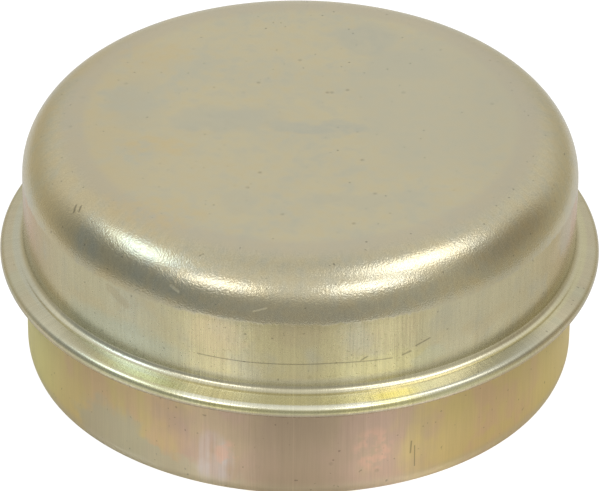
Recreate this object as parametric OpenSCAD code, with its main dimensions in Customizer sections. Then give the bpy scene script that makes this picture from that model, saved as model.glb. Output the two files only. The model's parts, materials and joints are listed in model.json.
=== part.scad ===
// Hub grease cap: one deep-drawn steel cup, open underneath. Its sheet is folded
// out and back on itself part-way down, which makes the doubled bead that stops
// against the hub's face, and carries on below as the spigot that is pressed
// into the hub's bore. The open rim stands on z = 0, and the cup's axis is Z.

/* [Sheet] */
// Thickness of the steel sheet
sheet = 0.8; // [0.6:0.05:1.2]

/* [Spigot] */
// Outside diameter of the spigot, which the hub's bore grips
spigot_d = 62; // [45:0.5:80]
// Height of the spigot from its open rim to the underside of the bead
spigot_h = 12; // [8:0.5:20]
// Outside radius of the bend from the bead's underside into the spigot
seat_r = 0.6; // [0.3:0.1:1]
// Height of the lead-in, where the mouth of the spigot turns inwards
lead_h = 1.3; // [0.6:0.1:2]
// Outside radius of that turn
lead_r = 3; // [2.5:0.1:6]

/* [Bead] */
// How far the bead stands out from the spigot
bead_over = 2.9; // [2.6:0.1:5]
// Gap left inside the fold at the bead's edge, where the sheet turns back
fold_gap = 0.1; // [0.04:0.02:0.3]
// Outside radius of the bend from the cup's wall into the bead
root_r = 0.5; // [0.3:0.1:1]
// Width of the level ledge between that bend and the slope
ledge_w = 0.4; // [0.1:0.05:0.8]
// How steeply the bead's upper layer slopes down to its edge, in degrees
bead_slope = 30; // [0:1:40]

/* [Cup] */
// How far the cup's wall stands out from the spigot's
cup_over = 0.2; // [0:0.05:0.5]
// Height of the cup from the top of the bead to the closed top
cup_h = 14.5; // [11:0.1:25]
// Outside radius of the shoulder between the wall and the top
shoulder_r = 6.3; // [3:0.1:9]

/* [Hidden] */
$fn = 128;

// Outside radii of the spigot, the cup and the bead
spigot_r = spigot_d / 2;
cup_r = spigot_r + cup_over;
bead_r = spigot_r + bead_over;
// Outside and inside radii of the fold at the bead's edge, and of the crest,
// where the upper layer starts to slope down to that edge
nose_r = sheet + fold_gap / 2;
eye_r = fold_gap / 2;
// Distances from the axis to the centres of the crest and of the fold
crest_x = cup_r + root_r + ledge_w;
nose_x = bead_r - nose_r;
// Heights of the bead's underside, its fold, its crest, its top and the closed top
seat_z = spigot_h;
fold_z = seat_z + nose_r;
crest_z = fold_z + (nose_x - crest_x) * tan(bead_slope);
bead_z = crest_z + nose_r;
top_z = bead_z + cup_h;

// A straight run of the sheet, given by two corners of its section
module run(x1, z1, x2, z2) {
    translate([x1, z1]) square([x2 - x1, z2 - z1]);
}

// A bend in the sheet: the part of a ring about (x, z) with inside radius r that
// lies between two angles, counted from the outward direction
module bend(x, z, r, low, high) {
    out_r = r + sheet;
    translate([x, z])
        intersection() {
            difference() {
                circle(out_r);
                circle(r);
            }
            polygon([
                [0, 0],
                for (turn = [low, (low + high) / 2, high]) 2 * out_r * [cos(turn), sin(turn)]
            ]);
        }
}

// The closed top, the rounded shoulder and the wall of the cup
module cup_section() {
    shoulder_x = cup_r - shoulder_r;
    shoulder_z = top_z - shoulder_r;
    run(0, top_z - sheet, shoulder_x, top_z);
    bend(shoulder_x, shoulder_z, shoulder_r - sheet, 0, 90);
    run(cup_r - sheet, bead_z + root_r, cup_r, shoulder_z);
}

// Everything within r of the sloping line from the crest's centre to the fold's
module around_slope(r) {
    translate([nose_x, fold_z]) circle(r);
    translate([crest_x, crest_z]) {
        circle(r);
        rotate(-bead_slope)
            translate([0, -r]) square([(nose_x - crest_x) / cos(bead_slope), 2 * r]);
    }
}

// The wall turns out into a level ledge, which bends down over the crest and
// slopes to the bead's edge, where the sheet folds back on itself and comes in
// level to the spigot
module bead_section() {
    bend(cup_r + root_r, bead_z + root_r, root_r, 180, 270);
    run(cup_r + root_r, bead_z - sheet, crest_x, bead_z);
    intersection() {
        difference() {
            around_slope(nose_r);
            around_slope(eye_r);
        }
        polygon([
            [crest_x, crest_z], [crest_x, top_z], [2 * bead_r, top_z],
            [2 * bead_r, 0], [nose_x, 0], [nose_x, fold_z]
        ]);
    }
    run(spigot_r + seat_r, seat_z, nose_x, seat_z + sheet);
    bend(spigot_r + seat_r, seat_z - seat_r, seat_r, 90, 180);
}

// The spigot's wall, and its mouth, which turns in and is trimmed flat at z = 0
module spigot_section() {
    run(spigot_r - sheet, lead_h, spigot_r, seat_z - seat_r);
    intersection() {
        bend(spigot_r - lead_r, lead_h, lead_r - sheet, -90, 0);
        run(spigot_r - lead_r, 0, spigot_r, lead_h);
    }
}

module grease_cap() {
    color("#b3a886")
        rotate_extrude() {
            cup_section();
            bead_section();
            spigot_section();
        }
}

grease_cap();
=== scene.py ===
"""A hub grease cap of yellow-plated steel, standing on its open rim under soft studio light.

Lengths are in metres, in the part's own frame: the open rim stands on z = 0, and the
cap's axis is Z. Angles round the cap are counted from the side that faces the camera.
"""

import json

import bpy
import numpy as np
from mathutils import Matrix, Vector


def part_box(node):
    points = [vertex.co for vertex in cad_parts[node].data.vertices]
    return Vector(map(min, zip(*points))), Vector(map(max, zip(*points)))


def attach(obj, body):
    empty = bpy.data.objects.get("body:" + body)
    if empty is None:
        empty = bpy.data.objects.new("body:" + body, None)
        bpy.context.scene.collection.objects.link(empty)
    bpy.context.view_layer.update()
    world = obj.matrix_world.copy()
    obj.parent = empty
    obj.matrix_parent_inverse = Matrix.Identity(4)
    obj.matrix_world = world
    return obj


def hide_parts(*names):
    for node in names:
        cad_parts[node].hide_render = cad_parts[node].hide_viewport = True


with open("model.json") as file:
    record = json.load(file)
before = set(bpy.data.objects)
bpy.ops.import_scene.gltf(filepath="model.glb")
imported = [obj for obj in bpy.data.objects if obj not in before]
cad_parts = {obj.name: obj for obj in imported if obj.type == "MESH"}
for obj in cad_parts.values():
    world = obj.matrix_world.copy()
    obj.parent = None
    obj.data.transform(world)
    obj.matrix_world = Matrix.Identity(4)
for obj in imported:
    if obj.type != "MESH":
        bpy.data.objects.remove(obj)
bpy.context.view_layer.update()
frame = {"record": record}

# The cap: one cup drawn from sheet steel, open underneath. Part-way down the sheet is
# folded out and back on itself as the bead that stops against the hub, and below it is
# the spigot that is pressed into the hub's bore. The raw edge at the mouth is trimmed flat.

MM = 0.001
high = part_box("grease_cap")[1]
mounts = {mount["name"]: mount for mount in frame["record"]["mounts"]}

bead_r = high.x
top_z = high.z
spigot_r = mounts["spigot"]["dims"]["r_mm"] * MM
seat_z = mounts["bead_seat"]["pos_m"][2]
sheet = 0.8 * MM
cup_over = 0.2 * MM
shoulder_r = 6.3 * MM
seat_r = 0.6 * MM
eye_r = 0.05 * MM
lead_r = 3.0 * MM
lead_h = 1.3 * MM

# The bend at the bead's root is wider here, and the slope from its crest to its edge is
# flatter, than in the solid: the photograph's rows of light and shade fit them better.
root_r = 0.8 * MM
bead_slope = 12

cup_r = spigot_r + cup_over
nose_r = sheet + eye_r
nose_x = bead_r - nose_r
crest_x = cup_r + root_r
fold_z = seat_z + nose_r
crest_z = fold_z + (nose_x - crest_x) * np.tan(np.radians(bead_slope))
bead_z = crest_z + nose_r
shoulder_x = cup_r - shoulder_r
shoulder_z = top_z - shoulder_r

ROUND_STEPS = 360
ARC_STEP = np.radians(5)
SHARP_ANGLE = np.radians(40)


def arc(x, z, radius, start, end):
    """Points of an arc in the cap's section: centre (x, z), from one angle to another.

    A point at angle t is (x + radius cos t, z + radius sin t), with t in degrees.
    """
    count = max(5, int(abs(np.radians(end - start)) / ARC_STEP) + 1)
    t = np.radians(np.linspace(start, end, count))
    return np.stack([x + radius * np.cos(t), z + radius * np.sin(t)], 1)


def flat(x, z, x_end, z_end, count):
    """This many points of a straight run of the section, without its two ends.

    A point at share t is the first end times (1 - t) plus the other end times t.
    """
    t = np.linspace(0, 1, count + 2)[1:-1, None]
    return np.array([x, z]) * (1 - t) + np.array([x_end, z_end]) * t


def cap_section():
    """The section of the sheet, down its outside and up its inside, as (radius, height).

    Each bend is two arcs about one centre, a sheet's thickness apart, and what lies
    between the bends is straight. The bends at the bead's root and at its crest meet, so
    the crest's arcs leave out the point that they share. Both ends are on the axis.
    """
    lead_x = spigot_r - lead_r
    inner_turn = lead_r - sheet
    lead_out = -np.degrees(np.arcsin(lead_h / lead_r))
    lead_in = -np.degrees(np.arcsin(lead_h / inner_turn))
    slope_end = 90 - bead_slope
    outside = [
        [[0, top_z]],
        flat(0, top_z, shoulder_x, top_z, 24),
        arc(shoulder_x, shoulder_z, shoulder_r, 90, 0),
        flat(cup_r, shoulder_z, cup_r, bead_z + root_r, 8),
        arc(crest_x, bead_z + root_r, root_r, 180, 270),
        arc(crest_x, crest_z, nose_r, 90, slope_end)[1:],
        arc(nose_x, fold_z, nose_r, slope_end, -90),
        arc(spigot_r + seat_r, seat_z - seat_r, seat_r, 90, 180),
        flat(spigot_r, seat_z - seat_r, spigot_r, lead_h, 8),
        arc(lead_x, lead_h, lead_r, 0, lead_out),
    ]
    inside = [
        arc(lead_x, lead_h, inner_turn, lead_in, 0),
        flat(lead_x + inner_turn, lead_h, spigot_r - sheet, seat_z - seat_r, 6),
        arc(spigot_r + seat_r, seat_z - seat_r, seat_r + sheet, 180, 90),
        arc(nose_x, fold_z, eye_r, -90, slope_end),
        arc(crest_x, crest_z, eye_r, slope_end, 90)[:-1],
        arc(crest_x, bead_z + root_r, root_r + sheet, 270, 180),
        flat(cup_r - sheet, bead_z + root_r, cup_r - sheet, shoulder_z, 6),
        arc(shoulder_x, shoulder_z, shoulder_r - sheet, 0, 90),
        flat(shoulder_x, top_z - sheet, 0, top_z - sheet, 12),
        [[0, top_z - sheet]],
    ]
    return np.concatenate(outside), np.concatenate(inside)


def turned(section, steps):
    """A closed surface of revolution: each point of the section goes once round Z.

    The vertex at angle t is (radius sin t, -radius cos t, height). The first and the
    last point of the section lie on the axis, and close it with a fan of triangles.
    """
    t = np.arange(steps) * (2 * np.pi / steps)
    ring = section[1:-1]
    x = ring[:, :1] * np.sin(t)
    y = -ring[:, :1] * np.cos(t)
    z = np.broadcast_to(ring[:, 1:], x.shape)
    grid = np.stack([x, y, z], 2).reshape(-1, 3)
    poles = np.array([[0, 0, section[0, 1]], [0, 0, section[-1, 1]]])
    here = np.arange(steps)
    after = (here + 1) % steps
    rows = np.arange(len(ring) - 1)[:, None] * steps
    quads = np.stack([rows + here, rows + steps + here, rows + steps + after, rows + after], 2)
    last = (len(ring) - 1) * steps
    top_pole = np.full(steps, len(grid))
    first_fan = np.stack([top_pole, here, after], 1)
    last_fan = np.stack([top_pole + 1, last + after, last + here], 1)
    faces = quads.reshape(-1, 4).tolist() + first_fan.tolist() + last_fan.tolist()
    return np.concatenate([grid, poles]), faces


def new_piece(name, verts, faces):
    """Puts vertices and faces into a mesh object at the origin, and links it."""
    mesh = bpy.data.meshes.new(name)
    mesh.from_pydata(verts.tolist(), [], faces)
    mesh.validate()
    piece = bpy.data.objects.new(name, mesh)
    bpy.context.scene.collection.objects.link(piece)
    return piece


outside, inside = cap_section()
cap = new_piece("cap_skin", *turned(np.concatenate([outside, inside]), ROUND_STEPS))
cap.data.shade_smooth()
cap.data.set_sharp_from_angle(angle=SHARP_ANGLE)

rings = np.repeat([0.0, 1.0], [len(outside) - 1, len(inside) - 1])
is_inside = np.concatenate([np.repeat(rings, ROUND_STEPS), [0.0, 1.0]])
cap.data.attributes.new("inside", "FLOAT", "POINT").data.foreach_set("value", is_inside)


class Wire:
    """One output of a shader node. Arithmetic on wires and numbers adds Math nodes."""

    def __init__(self, tree, socket=None):
        self.tree = tree
        self.socket = socket

    def node(self, kind, settings, sockets, out=0):
        """Adds a node: its settings first, then the values or links of its sockets."""
        made = self.tree.nodes.new(kind)
        for name, value in settings.items():
            setattr(made, name, value)
        for key, value in sockets.items():
            if isinstance(value, Wire):
                self.tree.links.new(value.socket, made.inputs[key])
            else:
                made.inputs[key].default_value = value
        return Wire(self.tree, made.outputs[out] if made.outputs else None)

    def maths(self, operation, *values):
        return self.node("ShaderNodeMath", {"operation": operation}, dict(enumerate(values)))

    def __add__(self, other):
        return self.maths("ADD", self, other)

    def __sub__(self, other):
        return self.maths("SUBTRACT", self, other)

    def __rsub__(self, other):
        return self.maths("SUBTRACT", other, self)

    def __mul__(self, other):
        return self.maths("MULTIPLY", self, other)

    def __truediv__(self, other):
        return self.maths("DIVIDE", self, other)

    def __abs__(self):
        return self.maths("ABSOLUTE", self)

    __radd__ = __add__
    __rmul__ = __mul__

    def rise(self, start, end):
        """0 up to start and 1 from end on, in a smooth step between. It falls if end < start."""
        settings = {"interpolation_type": "SMOOTHSTEP"}
        sockets = {"Value": self, "From Min": start, "From Max": end}
        return self.node("ShaderNodeMapRange", settings, sockets, "Result")

    def parts(self):
        """The three components of a vector."""
        first = self.node("ShaderNodeSeparateXYZ", {}, {0: self})
        return [Wire(self.tree, socket) for socket in first.socket.node.outputs]

    def scaled(self, factor):
        """A vector or a colour times a number."""
        sockets = {0: self, "Scale": factor}
        return self.node("ShaderNodeVectorMath", {"operation": "SCALE"}, sockets)

    def clouds(self, scale, detail=2.0):
        """Noise about 0.5 at a vector, with this many cells in each unit of length."""
        sockets = {"Vector": self, "Scale": scale, "Detail": detail}
        return self.node("ShaderNodeTexNoise", {}, sockets)


def blend(share, first, second):
    """A colour between two others: all first where share is 0, all second where it is 1."""
    ends = [colour if isinstance(colour, Wire) else (*colour, 1) for colour in (first, second)]
    sockets = {0: share, 6: ends[0], 7: ends[1]}
    return share.node("ShaderNodeMix", {"data_type": "RGBA"}, sockets, 2)


def joined(x, y, z):
    """A vector of three wires."""
    return x.node("ShaderNodeCombineXYZ", {}, {0: x, 1: y, 2: z})


def oval(u, v, centre, reach):
    """1 well inside an oval, and 0 from its edge on.

    Each offset from the centre is divided by the oval's reach that way, and the two
    squares are summed, which makes 1 at the edge.
    """
    across = (u - centre[0]) / reach[0]
    along = (v - centre[1]) / reach[1]
    return (across * across + along * along).rise(1.0, 0.25)


def nearest(point, places):
    """The distance from a point to the nearest of some places: the least of them all."""
    least = None
    for spot in places:
        ends = {0: point, 1: spot}
        away = point.node("ShaderNodeVectorMath", {"operation": "DISTANCE"}, ends, "Value")
        least = away if least is None else least.maths("MINIMUM", least, away)
    return least


def scored(u, v, begin, end, half_width):
    """1 on a straight mark from begin to end, and 0 beyond its half width.

    The nearest point of the mark lies at a share of its length, kept from 0 to 1: the
    offset from begin times the mark's run, summed over u and v, over its length squared.
    """
    run_u, run_v = end[0] - begin[0], end[1] - begin[1]
    length_squared = run_u * run_u + run_v * run_v
    from_u, from_v = u - begin[0], v - begin[1]
    share = (from_u * run_u + from_v * run_v) / length_squared
    share = share.maths("MINIMUM", share.maths("MAXIMUM", share, 0.0), 1.0)
    off_u, off_v = from_u - share * run_u, from_v - share * run_v
    return u.maths("SQRT", off_u * off_u + off_v * off_v).rise(half_width, half_width * 0.4)


def new_material(name):
    """An empty material with nodes, and a wire to start them from."""
    material = bpy.data.materials.new(name)
    material.use_nodes = True
    material.node_tree.nodes.clear()
    return material, Wire(material.node_tree)


# The camera: a long lens a little above the cap, as far off as the photograph's
# perspective says, and turned a fraction of a degree about its own line of sight.

CAMERA_REACH = 16 * bead_r
CAMERA_UP = 33.48
CAMERA_ROLL = 0.61
FRAME_WIDTH = 600
FRAME_HEIGHT = 491
LENS_PIXELS = 4782
camera_aim = Vector((0.05 * MM, 0, fold_z - 0.0189 * bead_r))

lens = bpy.data.cameras.new("camera")
lens.sensor_width = 36
lens.lens = lens.sensor_width * LENS_PIXELS / FRAME_WIDTH
lens.clip_start = 0.01
camera = bpy.data.objects.new("camera", lens)
e = np.radians(CAMERA_UP)
back = Vector((0, -np.cos(e), np.sin(e)))
camera_place = camera_aim + back * CAMERA_REACH
tipped = Matrix.Rotation(np.pi / 2 - e, 4, "X")
rolled = Matrix.Rotation(np.radians(CAMERA_ROLL), 4, "Z")
camera.matrix_world = Matrix.Translation(camera_place) @ tipped @ rolled
bpy.context.scene.collection.objects.link(camera)
bpy.context.scene.camera = camera
bpy.context.scene.view_settings.view_transform = "Standard"


def seen_at(column, row, z):
    """The place, in millimetres, of a point that the photograph shows at a known height.

    The ray through its pixel runs right by the column's offset from the frame's middle,
    up by the row's and forward by the lens's length in pixels, all turned as the camera
    is. The place is the camera's plus the ray times the share of it that reaches z.
    """
    offset = Vector((column - FRAME_WIDTH / 2, FRAME_HEIGHT / 2 - row, -LENS_PIXELS))
    ray = (tipped @ rolled).to_3x3() @ offset
    return (camera_place + ray * ((z - camera_place.z) / ray.z)) / MM


# The plating on the cap is yellow zinc: straw on the drawn-out top, greener down the wall,
# gold and pinkish brown on the spigot. In the wires, lengths are in millimetres, turn is in
# degrees from the camera's side, and wrapped is the length of that turn along the wall.

GRAIN_DEPTH = 0.024 * MM

steel, start = new_material("yellow_zinc_steel")
place = start.node("ShaderNodeTexCoord", {}, {}, "Object").scaled(1 / MM)
x, y, z = place.parts()
radius = start.maths("SQRT", x * x + y * y)
turn = start.maths("ARCTAN2", x, y * -1.0) * np.degrees(1)
wrapped = turn * np.radians(cup_r / MM)
side = abs(turn)
inner = start.node("ShaderNodeAttribute", {"attribute_name": "inside"}, {}, "Fac")

grain = joined(x / radius, y / radius, z * 0.001)
fine_lines = grain.clouds(210.0, 1.0)
broad_lines = grain.clouds(48.0, 2.0)
ragged = grain.clouds(60.0, 2.0)
streaks = joined(x / radius, y / radius, (z - radius) * 0.006).clouds(120.0, 2.0)
mottle = place.clouds(0.16, 3.0)
freckles = place.clouds(0.75, 3.0)
peel = place.clouds(5.0, 2.0)
grit = place.clouds(9.0, 1.0)
stains = joined(wrapped, z * 0.7, 0.0).clouds(0.22, 3.0)
blots = joined(wrapped, z, 13.0).clouds(0.3, 4.0)
tints = joined(wrapped * 1.3, z * 0.6, 7.0).clouds(0.2, 3.0)

# The top and its round shoulder: straw, with a greyer half, a pinkish ring before the
# shoulder, bluish water marks, and a tan cast toward the left.

STRAW = (0.585, 0.53, 0.355)
PALE_GREY = (0.54, 0.51, 0.372)
BLUE_GREY = (0.47, 0.475, 0.39)
PINK_GREY = (0.53, 0.48, 0.355)
TAN = (0.60, 0.515, 0.315)
ORANGE = (0.62, 0.50, 0.27)

wavy_x = x + (mottle - 0.5) * 6.0
wavy_y = y + (place.clouds(0.3, 2.0) - 0.5) * 5.0
skin = blend(mottle.rise(0.38, 0.66) * 0.7, STRAW, PALE_GREY)
skin = blend(freckles.rise(0.45, 0.75) * 0.5, skin, TAN)
skin = blend(freckles.rise(0.55, 0.25) * 0.3, skin, BLUE_GREY)
skin = blend(oval(wavy_x, wavy_y, (16, 4), (13, 18)) * 0.6, skin, PALE_GREY)
skin = blend(wavy_x.rise(-10, -24) * (mottle.rise(0.6, 0.4) * 0.7), skin, TAN)
skin = blend(radius.rise(23.5, 25.0) * radius.rise(27.5, 26.0) * 0.6, skin, PINK_GREY)
top_tints = [
    ((-8.5, 0.6), (7.5, 3.4), 0.5, BLUE_GREY),
    ((2.4, -1.4), (6.6, 2.4), 0.7, BLUE_GREY),
    ((7.5, 18.2), (4.6, 4.0), 0.6, BLUE_GREY),
    ((11.5, 12.5), (5.5, 4.0), 0.3, BLUE_GREY),
    ((-18.5, 3.5), (3.6, 6.5), 0.35, BLUE_GREY),
    ((5.5, -15.9), (5.0, 1.8), 0.4, BLUE_GREY),
    ((-7.0, -16.6), (3.0, 2.4), 0.3, BLUE_GREY),
    ((-16.0, -5.4), (5.0, 2.0), 0.5, ORANGE),
    ((-16.5, 14.0), (5.5, 3.2), 0.35, ORANGE),
    ((-18.0, -19.5), (9.0, 4.5), 0.55, ORANGE),
]
for centre, reach, strength, tint in top_tints:
    spread = oval(wavy_x, wavy_y, centre, reach) * freckles.rise(0.15, 0.7) * strength
    skin = blend(spread * radius.rise(28.5, 26.5), skin, tint)

# The wall, the bead and the spigot were ironed by the die, which left fine upright lines
# that begin at a slightly ragged edge under the shoulder.

# The wall: yellower in front and browner at both sides, with grey-green and gold stains.
wall = blend(side.rise(18, 34), (0.60, 0.54, 0.31), (0.61, 0.565, 0.38))
wall = blend(side.rise(34, 54), wall, (0.59, 0.54, 0.35))
wall = blend(turn.rise(-52, -74), wall, (0.54, 0.42, 0.22))
wall = blend(turn.rise(48, 74), wall, (0.51, 0.40, 0.17))
wall = blend(side.rise(64, 76) * z.rise(17, 20), wall, (0.60, 0.40, 0.22))
wall = blend(z.rise(18.5, 15.5) * side.rise(45, 65), wall, (0.61, 0.53, 0.33))
wall = blend(stains.rise(0.46, 0.66) * 0.6, wall, (0.52, 0.50, 0.37))
wall = blend(blots.rise(0.5, 0.68) * 0.4, wall, (0.61, 0.52, 0.31))
wall_tints = [
    ((-21, 16), (10, 3.2), 0.6, (0.49, 0.52, 0.40)),
    ((9.5, 16), (8, 3.0), 0.6, (0.66, 0.61, 0.31)),
    ((-9.5, 20.5), (4, 3.0), 0.4, (0.68, 0.55, 0.33)),
    ((0.5, 21.5), (3.5, 2.2), 0.4, (0.55, 0.47, 0.29)),
    ((15, 16.5), (2.5, 1.5), 0.4, (0.54, 0.56, 0.42)),
]
for centre, reach, strength, tint in wall_tints:
    spread = oval(wrapped + (blots - 0.5) * 6.0, z + (tints - 0.5) * 2.0, centre, reach)
    wall = blend(spread * strength, wall, tint)
dull_mark = scored(wrapped, z, (-22.3, 21.95), (-20.0, 20.85), 0.8)
wall = blend(dull_mark * 0.32, wall, (0.42, 0.34, 0.20))
wall = blend(z.rise(15.9, 15.1) * 0.7, wall, (0.61, 0.575, 0.42))

# The bead: its level part has a painted reflection of the wall, pale in front and darker
# farther round, its fold is straw with greener stains, and its underside has painted shade,
# darker and browner toward the sides.
nose = blend(side.rise(30, 60), (0.61, 0.58, 0.35), (0.58, 0.52, 0.355))
nose = blend(side.rise(3, 10) * side.rise(28, 20) * 0.9, nose, (0.62, 0.575, 0.28))
nose = blend(stains.rise(0.45, 0.65) * 0.5, nose, (0.55, 0.56, 0.40))
nose = blend(radius.rise(32.7, 32.3), nose, (0.62, 0.575, 0.365))
nose = blend(radius.rise(32.7, 32.3) * turn.rise(-22, -32) * 0.8, nose, (0.56, 0.55, 0.43))
level = radius.rise(31.85, 32.1) * z.rise(13.2, 13.45)
# Painted reflection of the wall on the level part: pale in front, darker farther round.
nose = blend(level * turn.rise(-26, -19) * turn.rise(17, 11), nose, (0.80, 0.78, 0.60))
nose = blend(level * turn.rise(19, 25) * turn.rise(62, 46) * 0.9, nose, (0.44, 0.43, 0.33))
nose = blend(level * turn.rise(-36, -46) * turn.rise(-70, -58) * 0.8, nose, (0.50, 0.48, 0.35))
# Painted shade on the bead's underside, darker and browner toward the sides.
nose = blend(z.rise(12.9, 12.6), nose, (0.54, 0.47, 0.34))
nose = blend(z.rise(12.9, 12.6) * side.rise(20, 50), nose, (0.44, 0.36, 0.20))

# The spigot: brown in the middle, pinkish beside it and gold from there on, with a
# grey-green patch at the left, a painted pale highlight, rosy spots and a duller mouth.
pinkish = blend(tints.rise(0.4, 0.6), (0.60, 0.44, 0.33), (0.60, 0.47, 0.31))
golden = blend(tints.rise(0.4, 0.6), (0.72, 0.53, 0.30), (0.72, 0.575, 0.27))
golden = blend(blots.rise(0.46, 0.62) * turn.rise(10, 40) * 0.6, golden, (0.72, 0.59, 0.25))
golden = blend(turn.rise(-52, -70), golden, (0.74, 0.67, 0.27))
golden = blend(turn.rise(54, 64), golden, (0.73, 0.60, 0.235))
plated = blend((side + (blots - 0.5) * 14.0).rise(2, 16), (0.54, 0.42, 0.29), pinkish)
fade = side + (tints - 0.5) * 14.0 + (broad_lines - 0.5) * 3.0 + (blots - 0.5) * 16.0
plated = blend(fade.rise(17, 34), plated, golden)
patch_u = turn + (blots - 0.5) * 26.0
patch_v = z + (tints - 0.5) * 5.0 + (freckles - 0.5) * 3.0
patch = oval(patch_u, patch_v, (-41, 2), (14, 5.2)) + oval(patch_u, patch_v, (-30, 0), (22, 3.4))
plated = blend(patch.maths("MINIMUM", patch, 1.0) * 0.85, plated, (0.60, 0.54, 0.37))
broken = broad_lines.rise(0.38, 0.62) + blots.rise(0.4, 0.6)
# A painted pale highlight left of the middle, broken up by the lines and blots.
painted_highlight = oval(turn, z, (-17.5, 3.5), (5.5, 4.5)) * broken * 0.4
plated = blend(painted_highlight, plated, (0.66, 0.59, 0.54))
rosy = oval(turn, z, (-14.5, 4.6), (3, 2.4)) + oval(turn, z, (15.5, 5.5), (5, 3.4))
plated = blend(rosy * freckles.rise(0.42, 0.6) * 0.7, plated, (0.76, 0.50, 0.36))
plated = blend(z.rise(1.9, 0.7) * 0.6, plated, (0.60, 0.52, 0.35))

# Behind, each of the three goes over to a plainer colour that is the same where turn
# jumps from 180 degrees to -180. Then each is laid on its own part of the cap.
behind = side.rise(88, 125)
plain_wall = blend(mottle.rise(0.4, 0.6), (0.60, 0.54, 0.34), (0.58, 0.54, 0.37))
plain_spigot = blend(mottle.rise(0.4, 0.6), (0.62, 0.48, 0.31), (0.69, 0.56, 0.30))
wall = blend(behind, wall, plain_wall)
nose = blend(behind, nose, (0.60, 0.56, 0.37))
plated = blend(behind, plated, plain_spigot)
drawn = (z - ragged * 0.8).rise(22.45, 22.05)
below = z.rise(12.3, 11.9)
colour = blend(drawn, skin, wall)
colour = blend(radius.rise(31.3, 32.0), colour, nose)
colour = blend(below, colour, plated)

# How light each place is: first the die's upright lines, which are strongest on both
# sides of the middle, and the streaks and the grit on the shoulder.
lines_and_sheen = oval(turn, z, (-16, 10), (10, 60)) + oval(turn, z, (17, 10), (10, 60))
lines_and_sheen = lines_and_sheen * (1.0 - below * 0.5)
lines = (fine_lines - 0.5) * (0.2 + lines_and_sheen * 0.3) + (broad_lines - 0.5) * (0.14 + lines_and_sheen * 0.14)
lines = lines * (1.0 - below * 0.4)
pale_line = abs(turn + 0.8).rise(0.25, 0.06) * 0.08
rounded = radius.rise(24.5, 28.0) * (1.0 - drawn)
tone = 1.0 + drawn * (lines + pale_line) + rounded * ((streaks - 0.5) * 0.16 + (grit - 0.5) * 0.4)

# Scratches run from one (wrapped, z) to another and have a half width. The spots on the
# top are given by column and row in the photograph, and those on the wall by (wrapped, z).
dark_marks = [
    ((-31.4, 27.3), (-31.0, 26.9), 0.18),
    ((-30.7, 27.5), (-30.4, 27.2), 0.15),
    ((-11.1, 17.5), (-5.8, 17.45), 0.1),
    ((-5.8, 17.45), (4.1, 17.6), 0.09),
    ((4.1, 17.6), (10.3, 17.35), 0.1),
    ((11.5, 17.5), (12.4, 17.75), 0.16),
    ((6.8, 17.65), (7.5, 18.05), 0.13),
    ((13.0, 18.3), (14.7, 18.85), 0.12),
    ((12.9, 5.5), (12.8, 4.0), 0.13),
    ((13.3, 4.8), (13.35, 2.1), 0.1),
]
marks = None
for begin, end, half_width in dark_marks:
    mark = scored(wrapped, z, begin, end, half_width)
    marks = mark if marks is None else marks + mark
top_spots = [
    (300, 60), (258.5, 82.5), (243.5, 92.5), (327.5, 92.5), (332, 92.5), (347.5, 90),
    (403.5, 92.5), (362.5, 160), (260, 172.5), (247.5, 187.5), (282.5, 214), (354, 223.5),
    (375, 193.5), (492, 103.5), (126, 83.5), (83.5, 97.5), (138.5, 208.5), (70, 126),
]
wall_spots = [(1.2, 15.8, 0), (3.7, 4.1, 0), (8.9, 2.5, 0), (-4.4, 3.5, 0)]
off_top = nearest(place, [seen_at(column, row, top_z) for column, row in top_spots])
off_wall = nearest(joined(wrapped, z, 0.0), wall_spots)
spots = off_top.rise(0.36, 0.1) + off_wall.rise(0.36, 0.1)
marks = marks + spots * freckles.rise(0.3, 0.6) * 0.5
specks = place.clouds(2.3, 0.0).rise(0.80, 0.87)
tone = tone * (1.0 - marks * 0.42) * (1.0 - specks * 0.35)
scuffs = scored(wrapped, z, (-14.5, 25.0), (-13.5, 24.6), 0.22)
scuffs = scuffs + scored(wrapped, z, (-4.9, 23.98), (-3.5, 24.45), 0.14)
# Bright scuffs, and painted sheen low on the wall on both sides of the middle.
tone = tone + scuffs * 0.35 + lines_and_sheen * z.rise(18.6, 15.6) * 0.12 * drawn

# Then painted light and shade, in slow changes: down the spigot and round it, round the
# wall, across the top, and inside the cap.
# Painted shade: the spigot darker up toward the bead above it.
tone = tone * (1.0 - z.rise(2.5, 10.5) * below * 0.2)
# Painted highlight: the spigot lighter on both sides of its middle.
tone = tone * (1.0 + side.rise(12, 20) * side.rise(38, 28) * below * 0.08)
# Painted shade: the upper spigot darker at its far sides, under the bead.
tone = tone * (1.0 - side.rise(56, 72) * z.rise(6, 9) * below * 0.12)
# Painted light and shade on the wall: its lower part lighter from about 25 degrees round and
# darker again from about 60, and its upper part a little darker far round.
sides = z.rise(19, 16) * (side.rise(20, 30) * 0.13 - side.rise(54, 70) * 0.24)
sides = sides - z.rise(17, 20) * side.rise(50, 66) * 0.08
tone = tone * (1.0 + sides * drawn * (1.0 - below))
# Painted shade: the top a little darker toward its left and right.
tone = tone * (1.0 - abs(x).rise(13, 24) * (1.0 - drawn) * 0.04)
# Painted shade inside the cap.
tone = tone * (1.0 - inner * 0.15)

rough = 0.22 + (peel - 0.5) * 0.1 + drawn * 0.04 + below * 0.14 + inner * 0.1
pebbles = (peel + streaks * rounded * 0.25) * (1.0 - drawn)
ridges = (fine_lines + broad_lines * 2.0) * drawn * 0.17
relief = {"Strength": 1.0, "Distance": GRAIN_DEPTH, "Height": pebbles + ridges}
dents = start.node("ShaderNodeBump", {}, relief)
plating = {"Base Color": colour.scaled(tone), "Metallic": 1.0, "Roughness": rough, "Normal": dents}
surface = start.node("ShaderNodeBsdfPrincipled", {}, plating)
start.node("ShaderNodeOutputMaterial", {}, {"Surface": surface})

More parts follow.
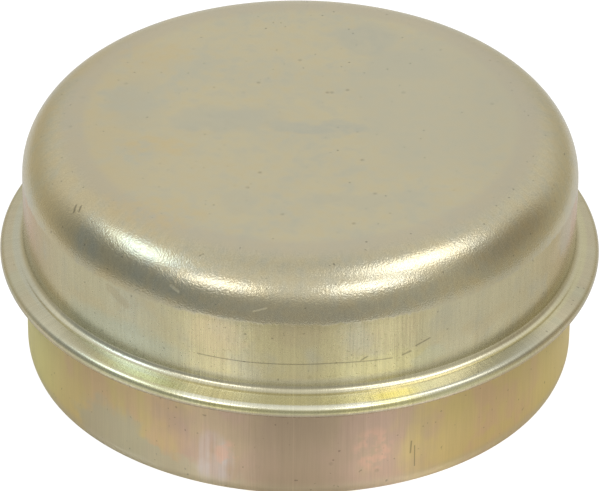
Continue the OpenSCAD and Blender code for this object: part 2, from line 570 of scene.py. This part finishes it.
cap.data.materials.append(steel)
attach(cap, "root")
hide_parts("grease_cap")

# The sheet of glossy white board under the cap. It takes the cap's soft shadow, the lamps
# shine back from it, and it is small, so the metal shows the dim room beyond it.

BOARD_GLOSS = 0.21
BOARD_WHITE = 0.65
board_half = np.array([0.085, 0.0825, 0])
board_y = 0.0175
corners = np.array([(-1, -1, 0), (1, -1, 0), (1, 1, 0), (-1, 1, 0)])
board = new_piece("board", corners * board_half + (0, board_y, 0), [(0, 1, 2, 3)])
white, start = new_material("white_board")
seen = start.node("ShaderNodeLightPath", {}, {}, "Is Camera Ray")
matt = start.node("ShaderNodeBsdfDiffuse", {}, {"Color": (0.8, 0.785, 0.745, 1)})
gloss = start.node("ShaderNodeBsdfGlossy", {}, {"Color": (1, 1, 1, 1), "Roughness": 0.15})
glow = start.node("ShaderNodeEmission", {}, {"Color": (1, 1, 1, 1), "Strength": 1.4})
coated = start.node("ShaderNodeMixShader", {}, {0: BOARD_GLOSS, 1: matt, 2: gloss})
mixed = start.node("ShaderNodeMixShader", {}, {0: seen * BOARD_WHITE, 1: coated, 2: glow})
start.node("ShaderNodeOutputMaterial", {}, {"Surface": mixed})
board.data.materials.append(white)

# The studio: a pale tent all round, dim on the side that the camera stands on, and four
# soft lamps above the camera, two on each side. Directions are in degrees: azimuth from
# the camera's side round to the right, and elevation above the horizon.

world = bpy.data.worlds.new("studio")
bpy.context.scene.world = world
world.use_nodes = True
world.node_tree.nodes.clear()
start = Wire(world.node_tree)
right, away, up = start.node("ShaderNodeTexCoord", {}, {}, "Generated").parts()
azimuth = start.maths("ARCTAN2", right, away * -1.0) * np.degrees(1)
elevation = start.maths("ARCSINE", up) * np.degrees(1)

# The tent is warmer low down behind the cap. The dim side is bluish at the left, and
# lighter and then warmer toward the right.
pale = blend(elevation.rise(55, 90), (0.86, 0.855, 0.85), (0.70, 0.70, 0.70))
pale = blend(elevation.rise(32, -2) * abs(azimuth).rise(200, 148), pale, (0.63, 0.59, 0.48))
gloom = blend(azimuth.rise(-60, -15), (0.32, 0.34, 0.355), (0.45, 0.445, 0.43))
gloom = blend(azimuth.rise(15, 45), gloom, (0.55, 0.54, 0.50))
gloom = blend(azimuth.rise(66, 84), gloom, (0.40, 0.36, 0.30))

# The dimness ends between 13 and 35 degrees up, and lift moves that edge up or down. It
# ends about 110 degrees round to each side too, and thins out there below the horizon.
lift = azimuth.rise(-46, -56) * 9.0 + azimuth.rise(32, 45) * 7.0 + azimuth.rise(62, 76) * 6.0
lift = lift - azimuth.rise(0, 12) * azimuth.rise(34, 24) * 8.0
dim = (elevation - lift).rise(35, 13) * azimuth.rise(-124, -94) * azimuth.rise(126, 108)
dim = dim * (1.0 - elevation.rise(0, -20) * azimuth.rise(-42, -56) * 0.5)
dim = dim * (1.0 - elevation.rise(10, -14) * azimuth.rise(48, 66) * 0.7)
seen = start.node("ShaderNodeLightPath", {}, {}, "Is Camera Ray")
shown = blend(seen, blend(dim, pale, gloom), (1, 1, 1))
tent = start.node("ShaderNodeBackground", {}, {"Color": shown})
start.node("ShaderNodeOutputWorld", {}, {"Surface": tent})

# Each lamp's name, azimuth, elevation, width, height and tilt, all in degrees as the cap
# sees them, then its strength and its tint.
LAMP_REACH = 0.7
aim = Vector((0, 0, fold_z))
lamps = [
    ("lamp_far_left", -80, 45, 23, 13, -28, 2.5, (0.74, 0.98, 1.26)),
    ("lamp_left", -34, 36, 21, 11, 0, 2.8, (0.98, 0.99, 1.1)),
    ("lamp_right", 31, 38, 23, 12, 0, 2.8, (0.98, 0.99, 1.1)),
    ("lamp_far_right", 70, 57, 28, 20, -14, 2.3, (1, 0.99, 1.05)),
]
for name, across, above, wide, tall, tilt, strength, tint in lamps:
    a, e = np.radians([across, above])
    outward = Vector((np.sin(a) * np.cos(e), -np.cos(a) * np.cos(e), np.sin(e)))
    light = bpy.data.lights.new(name, "AREA")
    light.shape = "RECTANGLE"
    light.size = 2 * LAMP_REACH * np.tan(np.radians(wide / 2))
    light.size_y = 2 * LAMP_REACH * np.tan(np.radians(tall / 2))
    light.energy = strength * np.pi * light.size * light.size_y
    light.color = tint
    lamp = bpy.data.objects.new(name, light)
    facing = outward.to_track_quat("Z", "Y").to_matrix().to_4x4()
    tilted = Matrix.Rotation(np.radians(tilt), 4, "Z")
    lamp.matrix_world = Matrix.Translation(aim + outward * LAMP_REACH) @ facing @ tilted
    lamp.visible_camera = False
    bpy.context.scene.collection.objects.link(lamp)
